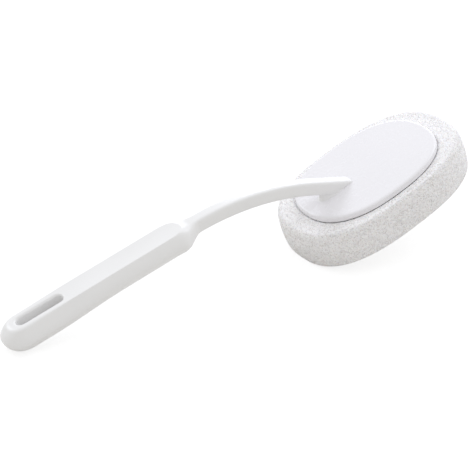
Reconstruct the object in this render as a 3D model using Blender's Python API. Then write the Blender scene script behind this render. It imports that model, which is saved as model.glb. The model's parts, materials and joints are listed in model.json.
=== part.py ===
"""Long-handled sponge scrub brush.

One moulding holds the grip, the arm and the foot. Two countersunk screws hold an oval head plate
under the foot. A hook sheet on the plate's underside grips the loop sheet of a thick foam pad.

Every piece is modelled on the head's own axes: the origin lies in the middle of the plate's flat
top, +X runs to the nose, +Y to the left and +Z up from the plate. The whole brush then leans back,
nose up, until the grip's butt and the pad's rear edge stand on the table. Lengths are in metres.
"""

import math

import bmesh
import bpy
from mathutils import Matrix, Vector

# Fits
TOUCH_GAP = 0.0003  # between two pieces that rest on each other

# Head plate, a shallow oval tray turned upside down
PLATE_LENGTH = 0.1216
PLATE_WIDTH = 0.0850
PLATE_SQUARENESS = 2.4  # 2 is an ellipse, more is squarer
PLATE_DEPTH = 0.0047  # flat top to the skirt's lower edge
PLATE_WEB = 0.0025
SKIRT_WALL = 0.0020
SKIRT_DRAFT = 0.0003
SKIRT_ROUND = 0.0003  # of the skirt's lower outer edge
EDGE_WIDTH = 0.0026  # of the soft upper edge, across the top
EDGE_HEIGHT = 0.0014  # and down the side
WEB_FILLET = 0.0006

# Hook sheet and loop sheet
SHEET_CLEARANCE = 0.0008  # to the fillet inside the skirt
HOOK_THICKNESS = 0.0014
LOOP_THICKNESS = 0.0012

# Foam pad
PAD_LENGTH = 0.1580
PAD_WIDTH = 0.1002
PAD_SQUARENESS = 2.65
PAD_FORWARD = 0.0011  # how far it sits ahead of the plate's middle
PAD_THICKNESS = 0.0322  # seat under the loop sheet to the scrub face
PAD_CREST = 0.0044  # the foam swells this far above its seat, round the plate
CREST_SHARE = 0.42  # where the crest runs, from the pad's outline (0) to the plate's (1)
PAD_UPPER_ROUND = 0.0100  # depth of the rounded upper edge
PAD_LOWER_ROUND = 0.0048
PAD_BULGE = 0.0007
PAD_FLAT = 0.0005  # depth to which the table flattens its rear edge

# Grip
GRIP_SLOPE = math.radians(5.5)  # its top runs down to the head by this angle
GRIP_LENGTH = 0.1487  # butt to the start of the shoulder
GRIP_HALF_WIDTH = 0.0132
GRIP_DEPTH = 0.0207  # land to the underside
GRIP_CROWN = 0.0055  # how far the round section would stand above the land
GRIP_SQUARENESS = 2.3
BUTT_HALF_WIDTH = 0.0149
BUTT_DEPTH = 0.02135
BUTT_SQUARENESS = 2.6
NOSE_REACH = 0.0046  # how far the butt's end stands out past a plain turned end
NOSE_LEVEL = -0.0060  # where it stands out most, below the land
NOSE_RISE = 0.0066  # from there up to where it starts
NOSE_FALL = 0.0125  # from there down to where it ends
NOSE_SQUARENESS = 2.8
BUTT_TAPER_START = 0.0350  # from the butt to where its fuller section starts to thin
BUTT_TAPER_END = 0.0950  # where it has become the grip's
CROWN_FALL_START = 0.1380  # from the butt to where the land begins to narrow
CROWN_FALL_END = 0.1650  # where the top has fallen to the arm's
LAND_HALF_WIDTH = 0.0098  # to the ridges on both sides of the thumb land
LAND_DISH = 0.0005
LAND_EDGE = 0.0003  # round of its ridges along the grip
BUTT_EDGE = 0.0028  # and round the slot
WALL_TILT = math.radians(24)  # the sides below the ridges lean out by this angle
WALL_ROUND = 0.0020  # where they turn into the round underside

# Hang slot through the grip
SLOT_LENGTH = 0.0385
SLOT_WIDTH = 0.0088
SLOT_WALL = 0.0138  # butt's end to the slot's end
SLOT_LIP = 0.0022  # radius of its rounded mouth
SLOT_LEVEL = -0.0002  # its mouth lies this far down in the land's dish
LIP_TURN = math.radians(76)  # how far the round turns before it meets the land
LIP_RUN = 0.0020  # straight run-out above the land

# Shoulder and arm
SHOULDER_LENGTH = 0.0200
BEND_START = 0.0141  # from the shoulder's start to where the arm begins to bend
ARM_WIDTH = 0.0106
ARM_HEIGHT = 0.0116
ARM_SQUARENESS = 5.0
ARM_DROP = 0.0022  # the arm's top lies this far below the land
ARM_BEND = 0.2210  # radius of the arm's centre line
ARM_FALL = math.radians(34)  # slope at which the arm meets the plate
NECK_RUN = 0.0376  # straight stretch from the bend to the plate

# Foot
FOOT_LANDING = -0.0149  # where the arm's top would meet the plate
ARM_NOSE = -0.0162  # where the arm ends, upright
FOOT_REAR = -0.0450  # the neck under the arm's end
FOOT_FRONT = -0.0195
FOOT_WIDTH = 0.0092
FOOT_FLARE = 0.0014  # how far its sides run out at the plate
FOOT_END_FLARE = 0.0022  # how far its two ends run out
FOOT_FLARE_HEIGHT = 0.0052
FOOT_SQUARENESS = 2.3
FOOT_TRIM = 0.0010

# Foot screws, countersunk from below
SCREW_SETBACK = 0.0060  # rear screw to the neck's rear
SCREW_PITCH = 0.0095
SCREW_DIAMETER = 0.0029
SCREW_LENGTH = 0.0100
SCREW_HEAD_DIAMETER = 0.0058
SCREW_HEAD_HEIGHT = 0.0015
SCREW_TIP_LENGTH = 0.0025
SCREW_TIP_DIAMETER = 0.0010
RECESS_WIDTH = 0.0009
RECESS_LENGTH = 0.0032
RECESS_DEPTH = 0.0008

# Facets
OVAL_SIDES = 64
SECTION_SIDES = 40
LAND_PART = 0.3  # share of the section's sides that cross the land
ROUND_SIDES = 20
ROUND_STEPS = 6  # along a rounded edge
LIP_STEPS = 4
BULGE_STEPS = 3
BUTT_STEPS = 8
GRIP_STEP = 0.0120  # where the grip runs on unchanged
SLOT_STEP = 0.0060  # along the slot
SHOULDER_STEP = 0.0025
ARM_STEP = 0.0085
CUT_PAST = 0.0100  # how far a cutter runs past what it cuts
MERGE_DISTANCE = 0.000005

# Levels that follow from the sizes above
PLATE_TOP = 0.0
WEB_UNDERSIDE = PLATE_TOP - PLATE_WEB
HOOK_TOP = WEB_UNDERSIDE - TOUCH_GAP
LOOP_TOP = HOOK_TOP - HOOK_THICKNESS - TOUCH_GAP
PAD_SEAT = LOOP_TOP - LOOP_THICKNESS - TOUCH_GAP
PAD_FACE = PAD_SEAT - PAD_THICKNESS
FOOT_BASE = PLATE_TOP + TOUCH_GAP
REAR_SCREW_X = FOOT_REAR + SCREW_SETBACK
FRONT_SCREW_X = REAR_SCREW_X + SCREW_PITCH
BEND_DISTANCE = GRIP_LENGTH + BEND_START
SPINE_BEND = ARM_BEND + ARM_HEIGHT / 2 + ARM_DROP
BEND_LENGTH = SPINE_BEND * (ARM_FALL - GRIP_SLOPE)
SLOT_FRONT = SLOT_WALL + SLOT_LENGTH
BUTT_CENTRE = SLOT_WALL + SLOT_WIDTH / 2


def clear_scene():
    """Remove the objects that the scene holds."""
    for item in list(bpy.data.objects):
        bpy.data.objects.remove(item, do_unlink=True)


def finish(name, colour, roughness, metallic=0.0):
    """A plain surface with one colour."""
    made = bpy.data.materials.new(name)
    made.use_nodes = True
    shader = made.node_tree.nodes["Principled BSDF"]
    shader.inputs["Base Color"].default_value = (*colour, 1.0)
    shader.inputs["Roughness"].default_value = roughness
    shader.inputs["Metallic"].default_value = metallic
    made.diffuse_color = (*colour, 1.0)
    return made


def smooth_step(value, start, end):
    """0 before start, 1 after end, with a soft S between them."""
    share = min(1.0, max(0.0, (value - start) / (end - start)))
    return share * share * (3.0 - 2.0 * share)


def blend(low, high, share):
    return low + (high - low) * share


def soft_min(first, second, reach):
    """The smaller of two values, with a rounded change from one to the other."""
    near = max(reach - abs(first - second), 0.0) / reach
    return min(first, second) - near * near * reach / 4.0


def oval_point(turn, half_length, half_width, squareness):
    """The point of a superellipse that lies in the direction turn."""
    across = math.cos(turn)
    up = math.sin(turn)
    reach = (abs(across) / half_length) ** squareness + (abs(up) / half_width) ** squareness
    radius = reach ** (-1.0 / squareness)
    return radius * across, radius * up


def loft(sides, stations, place):
    """A closed skin: a ring extruded from station to station, with a face across each end.

    place(station, turn) gives the point for the ring's vertex at the angle turn.
    """
    bm = bmesh.new()
    angle = bm.verts.layers.float.new("angle")
    ring = bmesh.ops.create_circle(bm, cap_ends=True, segments=sides, radius=1.0)["verts"]
    for vert in ring:
        vert[angle] = math.atan2(vert.co.y, vert.co.x)
        vert.co = place(stations[0], vert[angle])
    edges = list(bm.edges)
    for station in stations[1:]:
        grown = bmesh.ops.extrude_edge_only(bm, edges=edges)["geom"]
        edges = [item for item in grown if isinstance(item, bmesh.types.BMEdge)]
        for item in grown:
            if isinstance(item, bmesh.types.BMVert):
                item.co = place(station, item[angle])
    bmesh.ops.edgeloop_fill(bm, edges=edges)
    bmesh.ops.recalc_face_normals(bm, faces=bm.faces)
    return bm


def add_object(name, bm, surface, parent):
    """Turn a bmesh into a named, smooth-shaded object on the head's axes."""
    mesh = bpy.data.meshes.new(name)
    bm.to_mesh(mesh)
    bm.free()
    mesh.shade_smooth()
    mesh.set_sharp_from_angle(angle=math.radians(32))
    if surface:
        mesh.materials.append(surface)
    item = bpy.data.objects.new(name, mesh)
    bpy.context.scene.collection.objects.link(item)
    item.parent = parent
    return item


def add_form(name, bm, parent):
    """A hidden form that a Boolean adds or takes away."""
    item = add_object(name, bm, None, parent)
    item.hide_render = True
    item.display_type = "WIRE"
    return item


def combine(item, form, operation):
    """Join or cut an object with a form, exactly."""
    change = item.modifiers.new(form.name, "BOOLEAN")
    change.operation = operation
    change.solver = "EXACT"
    change.object = form


def block(low, high, turn=None):
    """A box between two corners, then turned about the origin."""
    bm = bmesh.new()
    bmesh.ops.create_cube(bm, size=1.0)
    size = Vector(high) - Vector(low)
    middle = (Vector(high) + Vector(low)) / 2
    moved = Matrix.Translation(middle) @ Matrix.Diagonal((*size, 1.0))
    bmesh.ops.transform(bm, matrix=(turn or Matrix.Identity(4)) @ moved, verts=bm.verts)
    return bm


# Head plate


def plate_profile():
    """(inset from the outline, height), from the web's underside round the skirt to the top."""
    profile = [
        (SKIRT_WALL + SKIRT_DRAFT + WEB_FILLET, WEB_UNDERSIDE),
        (SKIRT_WALL + SKIRT_DRAFT, WEB_UNDERSIDE - WEB_FILLET),
        (SKIRT_WALL, -PLATE_DEPTH),
        (SKIRT_ROUND, -PLATE_DEPTH),
        (0.0, SKIRT_ROUND - PLATE_DEPTH),
    ]
    for step in range(ROUND_STEPS + 1):
        turn = math.pi / 2 * step / ROUND_STEPS
        inset = SKIRT_DRAFT + EDGE_WIDTH * (1.0 - math.cos(turn))
        profile.append((inset, EDGE_HEIGHT * (math.sin(turn) - 1.0)))
    return profile


def screw_solid(x, gap):
    """A countersunk screw, point up; a gap makes it the hole that the screw fits."""
    head_low = WEB_UNDERSIDE - (CUT_PAST if gap else 0.0)
    head = SCREW_HEAD_DIAMETER / 2 + gap
    shank = SCREW_DIAMETER / 2 + gap
    tip = SCREW_TIP_DIAMETER / 2 + gap
    point = WEB_UNDERSIDE + SCREW_LENGTH + gap
    stations = [
        (head, head_low),
        (head, WEB_UNDERSIDE + gap),
        (shank, WEB_UNDERSIDE + SCREW_HEAD_HEIGHT + gap),
        (shank, point - SCREW_TIP_LENGTH),
        (tip, point),
    ]
    return loft(ROUND_SIDES, stations, lambda station, turn: (
        x + station[0] * math.cos(turn), station[0] * math.sin(turn), station[1]))


def make_head_plate(surface, parent):
    def place(station, turn):
        inset, height = station
        x, y = oval_point(turn, PLATE_LENGTH / 2 - inset, PLATE_WIDTH / 2 - inset, PLATE_SQUARENESS)
        return x, y, height

    plate = add_object("head_plate", loft(OVAL_SIDES, plate_profile(), place), surface, parent)
    for label, x in (("rear", REAR_SCREW_X), ("front", FRONT_SCREW_X)):
        combine(plate, add_form("plate_hole_" + label, screw_solid(x, TOUCH_GAP), parent), "DIFFERENCE")
    return plate


# Foot screws


def recess_blocks(x):
    """The cross in a screw's head."""
    low = WEB_UNDERSIDE - RECESS_DEPTH
    high = WEB_UNDERSIDE + RECESS_DEPTH
    for length, width in ((RECESS_LENGTH, RECESS_WIDTH), (RECESS_WIDTH, RECESS_LENGTH)):
        yield block((x - length / 2, -width / 2, low), (x + length / 2, width / 2, high))


def make_foot_screw(label, x, surface, parent):
    screw = add_object("foot_screw_" + label, screw_solid(x, 0.0), surface, parent)
    for side, cross in zip("xy", recess_blocks(x)):
        combine(screw, add_form(f"recess_{label}_{side}", cross, parent), "DIFFERENCE")
    return screw


# Hook sheet and loop sheet


def make_sheet(name, top, thickness, surface, parent):
    inset = SKIRT_WALL + SKIRT_DRAFT + WEB_FILLET + SHEET_CLEARANCE

    def place(height, turn):
        x, y = oval_point(turn, PLATE_LENGTH / 2 - inset, PLATE_WIDTH / 2 - inset, PLATE_SQUARENESS)
        return x, y, height

    return add_object(name, loft(OVAL_SIDES, [top - thickness, top], place), surface, parent)


# Foam pad


def pad_stations():
    """(share of the plate's outline, inset, height), from the scrub face up the side and in to the seat."""
    crest = PAD_SEAT + PAD_CREST
    side_low = PAD_FACE + PAD_LOWER_ROUND
    side_high = crest - PAD_UPPER_ROUND
    stations = []
    for step in range(ROUND_STEPS):
        turn = math.pi / 2 * step / (ROUND_STEPS - 1)
        inset = PAD_LOWER_ROUND * (1.0 - math.sin(turn))
        stations.append((0.0, inset, PAD_FACE + PAD_LOWER_ROUND * (1.0 - math.cos(turn))))
    for step in range(1, BULGE_STEPS):
        share = step / BULGE_STEPS
        bulge = PAD_BULGE * math.sin(math.pi * share)
        stations.append((0.0, -bulge, blend(side_low, side_high, share)))
    for step in range(ROUND_STEPS):
        turn = math.pi / 2 * step / (ROUND_STEPS - 1)
        share = CREST_SHARE * (1.0 - math.cos(turn))
        stations.append((share, 0.0, side_high + PAD_UPPER_ROUND * math.sin(turn)))
    for step in range(1, BULGE_STEPS + 1):
        share = blend(CREST_SHARE, 1.0, step / BULGE_STEPS)
        fall = smooth_step(step, 0.0, BULGE_STEPS)
        stations.append((share, 0.0, blend(crest, PAD_SEAT, fall)))
    return stations


def make_sponge_pad(surface, parent):
    def place(station, turn):
        share, inset, height = station
        half_length = blend(PAD_LENGTH, PLATE_LENGTH, share) / 2 - inset
        half_width = blend(PAD_WIDTH, PLATE_WIDTH, share) / 2 - inset
        squareness = blend(PAD_SQUARENESS, PLATE_SQUARENESS, share)
        x, y = oval_point(turn, half_length, half_width, squareness)
        return x + PAD_FORWARD * (1.0 - share), y, height

    return add_object("sponge_pad", loft(OVAL_SIDES, pad_stations(), place), surface, parent)


# Handle


def spine(distance):
    """(point in the XZ plane, slope) on the land's line, which runs on above the arm to the plate.

    It is laid out from the landing backwards, so the arm always meets the plate there.
    """
    along = Vector((math.cos(ARM_FALL), -math.sin(ARM_FALL)))
    above = Vector((math.sin(ARM_FALL), math.cos(ARM_FALL)))
    landing = Vector((FOOT_LANDING, PLATE_TOP)) + ARM_DROP * above
    bend_end = landing - NECK_RUN * along
    centre = bend_end - SPINE_BEND * above
    past_bend = distance - BEND_DISTANCE
    if past_bend > BEND_LENGTH:
        return bend_end + (past_bend - BEND_LENGTH) * along, ARM_FALL
    slope = GRIP_SLOPE + max(0.0, past_bend) / SPINE_BEND
    point = centre + SPINE_BEND * Vector((math.sin(slope), math.cos(slope)))
    if past_bend < 0.0:
        point += past_bend * Vector((math.cos(slope), -math.sin(slope)))
    return point, slope


def section(distance):
    """(half width, top, bottom, squareness, ridge's round) of the handle's section.

    The heights are measured from the land's line.
    """
    full = smooth_step(distance, BUTT_TAPER_START, BUTT_TAPER_END)
    half_width = blend(BUTT_HALF_WIDTH, GRIP_HALF_WIDTH, full)
    bottom = -blend(BUTT_DEPTH, GRIP_DEPTH, full)
    squareness = blend(BUTT_SQUARENESS, GRIP_SQUARENESS, full)
    neck = smooth_step(distance, GRIP_LENGTH, GRIP_LENGTH + SHOULDER_LENGTH)
    half_width = blend(half_width, ARM_WIDTH / 2, neck)
    top = blend(GRIP_CROWN, -ARM_DROP, smooth_step(distance, CROWN_FALL_START, CROWN_FALL_END))
    bottom = blend(bottom, -ARM_DROP - ARM_HEIGHT, neck)
    squareness = blend(squareness, ARM_SQUARENESS, neck)
    edge = blend(BUTT_EDGE, LAND_EDGE, smooth_step(distance, BUTT_CENTRE, SLOT_FRONT + SLOT_WIDTH))
    return half_width, top, bottom, squareness, edge


def section_point(distance, turn):
    """(way out, height, direction across) of a point of the section: an oval with a land and two flat walls.

    A fixed part of the ring's vertices always crosses the land, so one row of edges follows each ridge.
    """
    half_width, top, bottom, squareness, edge = section(distance)
    middle = (top + bottom) / 2
    ridge = math.atan2(-middle, LAND_HALF_WIDTH)
    share = (turn / math.tau) % 1.0
    if share < LAND_PART:
        turn = blend(ridge, math.pi - ridge, share / LAND_PART)
    else:
        turn = blend(math.pi - ridge, math.tau + ridge, (share - LAND_PART) / (1.0 - LAND_PART))
    across = abs(math.cos(turn))
    up = math.sin(turn)
    radius = math.hypot(*oval_point(turn, half_width, (top - bottom) / 2, squareness))
    facing = across * math.cos(WALL_TILT) + up * math.sin(WALL_TILT)
    if facing > 0.0:
        wall = LAND_HALF_WIDTH * math.cos(WALL_TILT) - middle * math.sin(WALL_TILT)
        radius = soft_min(radius, wall / facing, WALL_ROUND)
    if up > 0.0:
        out = min(1.0, -middle * across / (up * LAND_HALF_WIDTH))
        radius = soft_min(radius, (LAND_DISH * (out * out - 1.0) - middle) / up, edge)
    return radius * across, middle + radius * up, math.cos(turn)


def nose_point(fold, out, height):
    """(way back from the butt's centre, way out) of a point of the section turned back by an angle."""
    share = smooth_step(out, LAND_HALF_WIDTH / 2, BUTT_HALF_WIDTH)
    bend = 2.0 / blend(2.0, NOSE_SQUARENESS, share)
    rise = (height - NOSE_LEVEL) / (NOSE_RISE if height > NOSE_LEVEL else NOSE_FALL)
    reach = out + NOSE_REACH * max(0.0, 1.0 - rise * rise) * smooth_step(out, 0.0, LAND_HALF_WIDTH)
    return reach * math.sin(fold) ** bend, out * max(0.0, math.cos(fold)) ** bend


def distances():
    """Where the handle's sections stand, closest where its shape changes fastest."""
    turns = [math.pi / 2 * step / BUTT_STEPS for step in range(BUTT_STEPS + 1)]
    stations = [BUTT_CENTRE * (1.0 - math.cos(turn)) for turn in turns]
    arm_end = BEND_DISTANCE + BEND_LENGTH + NECK_RUN + ARM_HEIGHT
    stretches = ((SLOT_FRONT + SLOT_WIDTH, SLOT_STEP), (CROWN_FALL_START, GRIP_STEP),
                 (GRIP_LENGTH + SHOULDER_LENGTH, SHOULDER_STEP), (arm_end, ARM_STEP))
    for end, step in stretches:
        start = stations[-1]
        count = max(1, round((end - start) / step))
        stations += [blend(start, end, (index + 1) / count) for index in range(count)]
    return stations


def handle_point(distance, turn):
    """A point of the skin; behind the butt's centre the section turns round it and closes on itself."""
    fold = math.asin(max(0.0, 1.0 - distance / BUTT_CENTRE))
    distance = max(distance, BUTT_CENTRE)
    point, slope = spine(distance)
    out, height, side = section_point(distance, turn)
    back, y = nose_point(fold, out, height)
    x = point.x + height * math.sin(slope) - back * math.cos(slope)
    return x, math.copysign(y, side), point.y + height * math.cos(slope) + back * math.sin(slope)


def handle_form():
    """The handle's skin; its folded first ring is merged, so the butt closes without an end face."""
    bm = loft(SECTION_SIDES, distances(), handle_point)
    folded = min(bm.faces, key=lambda face: face.calc_area())
    bmesh.ops.delete(bm, geom=[folded], context="FACES_ONLY")
    bmesh.ops.remove_doubles(bm, verts=bm.verts, dist=MERGE_DISTANCE)
    bmesh.ops.recalc_face_normals(bm, faces=bm.faces)
    return bm


def on_grip(bm):
    """Lay out a form that was modelled with the butt at the origin and the land along +X."""
    point, slope = spine(0.0)
    moved = Matrix.Translation((point.x, 0.0, point.y)) @ Matrix.Rotation(slope, 4, "Y")
    bmesh.ops.transform(bm, matrix=moved, verts=bm.verts)
    return bm


def slot_cutter():
    """A round-ended bar whose top flares into the slot's rounded mouth."""
    mouth = SLOT_LEVEL
    stations = [(0.0, -BUTT_DEPTH - CUT_PAST), (0.0, mouth - SLOT_LIP)]
    for step in range(1, LIP_STEPS + 1):
        turn = LIP_TURN * step / LIP_STEPS
        stations.append((SLOT_LIP * (1.0 - math.cos(turn)), mouth - SLOT_LIP * (1.0 - math.sin(turn))))
    outset, height = stations[-1]
    stations.append((outset + LIP_RUN * math.sin(LIP_TURN), height + LIP_RUN * math.cos(LIP_TURN)))
    run = SLOT_LENGTH / 2 - SLOT_WIDTH / 2

    def place(station, turn):
        outset, height = station
        radius = SLOT_WIDTH / 2 + outset
        side = math.copysign(run, math.cos(turn))
        return SLOT_WALL + SLOT_LENGTH / 2 + side + radius * math.cos(turn), radius * math.sin(turn), height

    return on_grip(loft(SECTION_SIDES - 2, stations, place))


def foot_form(parent):
    """The web under the arm's end, flared at the plate; it stops inside the arm.

    It starts a little too low, and the plate's plane trims it.
    """
    middle = (FOOT_REAR + FOOT_FRONT) / 2
    half_length = (FOOT_FRONT - FOOT_REAR) / 2
    height = (FOOT_LANDING - FOOT_REAR) * math.tan(ARM_FALL)
    stations = [(1.0, FOOT_BASE - FOOT_TRIM)]
    for step in range(ROUND_STEPS + 1):
        turn = math.pi / 2 * step / ROUND_STEPS
        stations.append((1.0 - math.sin(turn), FOOT_BASE + FOOT_FLARE_HEIGHT * (1.0 - math.cos(turn))))
    stations.append((0.0, FOOT_BASE + height))

    def place(station, turn):
        flare, level = station
        x, y = oval_point(turn, half_length + FOOT_END_FLARE * flare, FOOT_WIDTH / 2 + FOOT_FLARE * flare,
                          FOOT_SQUARENESS)
        return middle + x, y, level

    foot = add_form("foot", loft(SECTION_SIDES, stations, place), parent)
    reach = PLATE_LENGTH
    arm_middle = -ARM_HEIGHT / 2
    above = block((-reach, -reach, arm_middle), (reach, reach, reach))
    lean = Matrix.Translation((FOOT_LANDING, 0.0, PLATE_TOP)) @ Matrix.Rotation(ARM_FALL, 4, "Y")
    bmesh.ops.transform(above, matrix=lean, verts=above.verts)
    combine(foot, add_form("above_arm", above, parent), "DIFFERENCE")
    return foot


def make_handle(surface, parent):
    handle = add_object("handle", handle_form(), surface, parent)
    combine(handle, add_form("hang_slot", slot_cutter(), parent), "DIFFERENCE")
    combine(handle, foot_form(parent), "UNION")
    reach = PLATE_LENGTH / 2
    under = block((-reach, -reach, FOOT_BASE - reach), (reach, reach, FOOT_BASE))
    combine(handle, add_form("plate_plane", under, parent), "DIFFERENCE")
    ahead = block((ARM_NOSE, -reach, -reach), (reach, reach, reach))
    combine(handle, add_form("arm_nose", ahead, parent), "DIFFERENCE")
    for label, x in (("rear", REAR_SCREW_X), ("front", FRONT_SCREW_X)):
        combine(handle, add_form("pilot_hole_" + label, screw_solid(x, TOUCH_GAP), parent), "DIFFERENCE")
    return handle


# Stance on the table


def outline_points(item):
    """The finished piece's vertices on the head's axes."""
    shaped = item.evaluated_get(bpy.context.evaluated_depsgraph_get())
    return [vert.co.copy() for vert in shaped.data.vertices]


def lowest(points, lean):
    """The lowest level that the points reach when the brush leans back."""
    return min(point.x * math.sin(lean) + point.z * math.cos(lean) for point in points)


def lean_back(axes, handle, pad, pieces):
    """Stand the butt and the pad's rear edge on the table, the middle of the box above the origin."""
    bpy.context.view_layer.update()
    handle_points = outline_points(handle)
    pad_points = outline_points(pad)
    low = 0.0
    high = math.radians(80)
    for _ in range(60):
        lean = (low + high) / 2
        if lowest(handle_points, lean) > lowest(pad_points, lean) + PAD_FLAT:
            low = lean
        else:
            high = lean
    axes.rotation_euler.y = -lean
    every = [point for piece in pieces for point in outline_points(piece)]
    along = [point.x * math.cos(lean) - point.z * math.sin(lean) for point in every]
    table = lowest(pad_points, lean) + PAD_FLAT
    axes.location = (-(min(along) + max(along)) / 2, 0.0, -table)
    reach = PAD_LENGTH + PAD_WIDTH
    floor = add_form("table", block((-reach, -reach, -reach), (reach, reach, 0.0)), None)
    combine(pad, floor, "DIFFERENCE")


def main():
    clear_scene()
    axes = bpy.data.objects.new("head_axes", None)
    bpy.context.scene.collection.objects.link(axes)
    white_plastic = finish("white plastic", (0.86, 0.86, 0.88), 0.22)
    plate_plastic = finish("plate plastic", (0.85, 0.84, 0.88), 0.28)
    foam = finish("white foam", (0.80, 0.78, 0.78), 0.9)
    hooks = finish("hook sheet", (0.75, 0.75, 0.74), 0.6)
    loops = finish("loop sheet", (0.80, 0.80, 0.79), 0.9)
    screw_steel = finish("plated steel", (0.62, 0.62, 0.63), 0.35, metallic=1.0)
    pieces = [
        make_handle(white_plastic, axes),
        make_head_plate(plate_plastic, axes),
        make_foot_screw("rear", REAR_SCREW_X, screw_steel, axes),
        make_foot_screw("front", FRONT_SCREW_X, screw_steel, axes),
        make_sheet("hook_sheet", HOOK_TOP, HOOK_THICKNESS, hooks, axes),
        make_sheet("loop_sheet", LOOP_TOP, LOOP_THICKNESS, loops, axes),
        make_sponge_pad(foam, axes),
    ]
    lean_back(axes, pieces[0], pieces[-1], pieces)


main()
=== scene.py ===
# %% [markdown]
# # A long-handled sponge scrub brush
#
# The brush is a white plastic moulding that is grip, arm and foot in one, an oval plate screwed
# under the foot, and a thick foam pad that clings to the plate by hooks and loops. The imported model
# gives every piece its place and size. This lesson makes the surfaces again as fine meshes and
# gives each one its finish.

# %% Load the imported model
import json
import math

import bmesh
import bpy
from mathutils import Matrix, Vector, noise
from mathutils.kdtree import KDTree


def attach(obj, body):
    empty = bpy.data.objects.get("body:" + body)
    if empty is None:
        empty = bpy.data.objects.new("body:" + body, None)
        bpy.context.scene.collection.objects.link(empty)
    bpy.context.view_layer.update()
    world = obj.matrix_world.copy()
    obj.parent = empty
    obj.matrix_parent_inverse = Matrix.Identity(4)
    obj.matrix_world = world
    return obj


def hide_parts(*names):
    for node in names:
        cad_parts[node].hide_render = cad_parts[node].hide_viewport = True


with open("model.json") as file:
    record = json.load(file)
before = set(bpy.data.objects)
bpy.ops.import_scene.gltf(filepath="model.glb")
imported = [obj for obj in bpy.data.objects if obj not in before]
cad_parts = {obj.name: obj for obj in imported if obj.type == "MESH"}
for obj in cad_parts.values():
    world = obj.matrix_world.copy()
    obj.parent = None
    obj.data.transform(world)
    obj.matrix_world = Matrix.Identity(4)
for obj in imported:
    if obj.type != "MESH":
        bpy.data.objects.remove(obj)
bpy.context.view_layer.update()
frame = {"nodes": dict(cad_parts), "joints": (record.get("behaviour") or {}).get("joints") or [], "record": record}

# %% [markdown]
# ## The head's own axes
#
# The brush leans back, nose up, so nothing on it is level. Modelling is easier on axes that lie in
# the plate: the origin in the middle of its flat top, +X to the nose, +Z up from it. The pad lifts
# off along that +Z, so the joint's axis gives the lean, and the middle of the scrub face gives the
# place. Each piece is made on these axes and laid into the scene in one step at its end.

# %% Find the head's axes in the record
PAD_FORWARD = 0.0011
PAD_FACE = -0.0382

lift = Vector(frame["joints"][0]["axis"])
LEAN = math.atan2(-lift.x, lift.z)
scrub_face = next(item for item in frame["record"]["mounts"] if item["name"] == "scrub_face")
tilt = Matrix.Rotation(-LEAN, 4, "Y")
face_middle = tilt @ Vector((PAD_FORWARD, 0.0, PAD_FACE))
HEAD = Matrix.Translation(Vector(scrub_face["pos_m"]) - face_middle) @ tilt
print("lean in degrees:", round(math.degrees(LEAN), 2))
print("head origin:", [round(value, 4) for value in HEAD.translation])

# %% [markdown]
# ## Helpers for shapes
#
# Nearly every piece here is an oval that changes along its way. A circle's edges are extruded again
# and again, and after each step a rule moves the new ring into place. That gives clean quads which
# run along the form, so highlights run along it too.


# %% Between two values
def blend(low, high, share):
    return low + (high - low) * share


def smooth_step(value, start, end):
    share = min(1.0, max(0.0, (value - start) / (end - start)))
    return share * share * (3.0 - 2.0 * share)


# %% Ovals and quarter rounds
def oval_point(turn, half_length, half_width, squareness):
    """The point of a superellipse in the direction turn."""
    across = math.cos(turn)
    up = math.sin(turn)
    reach = (abs(across) / half_length) ** squareness + (abs(up) / half_width) ** squareness
    radius = reach ** (-1.0 / squareness)
    return radius * across, radius * up


def quarter_turn(steps):
    """(1 - cos, sin) at even angles: a quarter round from its side up to its top."""
    turns = [math.pi / 2 * step / steps for step in range(steps + 1)]
    return [(1.0 - math.cos(turn), math.sin(turn)) for turn in turns]


# %% Grow a skin, ring by ring
def loft(sides, stations, place):
    """A closed skin. place(station, share) puts a ring's vertex, share being its way round."""
    bm = bmesh.new()
    way = bm.verts.layers.float.new("way")
    bmesh.ops.create_circle(bm, cap_ends=True, segments=sides, radius=1.0)
    for vert in bm.verts:
        vert[way] = (math.atan2(vert.co.y, vert.co.x) / math.tau) % 1.0
        vert.co = place(stations[0], vert[way])
    edges = list(bm.edges)
    for station in stations[1:]:
        grown = bmesh.ops.extrude_edge_only(bm, edges=edges)["geom"]
        edges = [item for item in grown if isinstance(item, bmesh.types.BMEdge)]
        for item in grown:
            if isinstance(item, bmesh.types.BMVert):
                item.co = place(station, item[way])
    bmesh.ops.edgeloop_fill(bm, edges=edges)
    bmesh.ops.recalc_face_normals(bm, faces=bm.faces)
    return bm


# %% Make a piece, lay it in and measure it
HARD_CORNER = math.radians(34)


def add_piece(name, bm):
    """Turn a bmesh into a named object, smooth but for its hard corners."""
    mesh = bpy.data.meshes.new(name)
    bm.to_mesh(mesh)
    bm.free()
    mesh.shade_smooth()
    mesh.set_sharp_from_angle(angle=HARD_CORNER)
    piece = bpy.data.objects.new(name, mesh)
    bpy.context.scene.collection.objects.link(piece)
    return piece


def lay_in(bm):
    """Move a bmesh from the head's axes to its place in the scene."""
    bmesh.ops.transform(bm, matrix=HEAD, verts=bm.verts)
    return bm


def report(piece):
    size = [round(1000 * side, 1) for side in piece.dimensions]
    print(f"{piece.name}: {len(piece.data.polygons)} faces, {size} mm")


# %% [markdown]
# ## The handle's line
#
# On the real brush the grip is straight, and the arm bends down from it to the plate in one long
# curve. The flat land for the thumb lies on a line that is straight along the grip and then follows
# the arm's curve. It is laid out backwards from the point where the arm lands on the plate.

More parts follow.
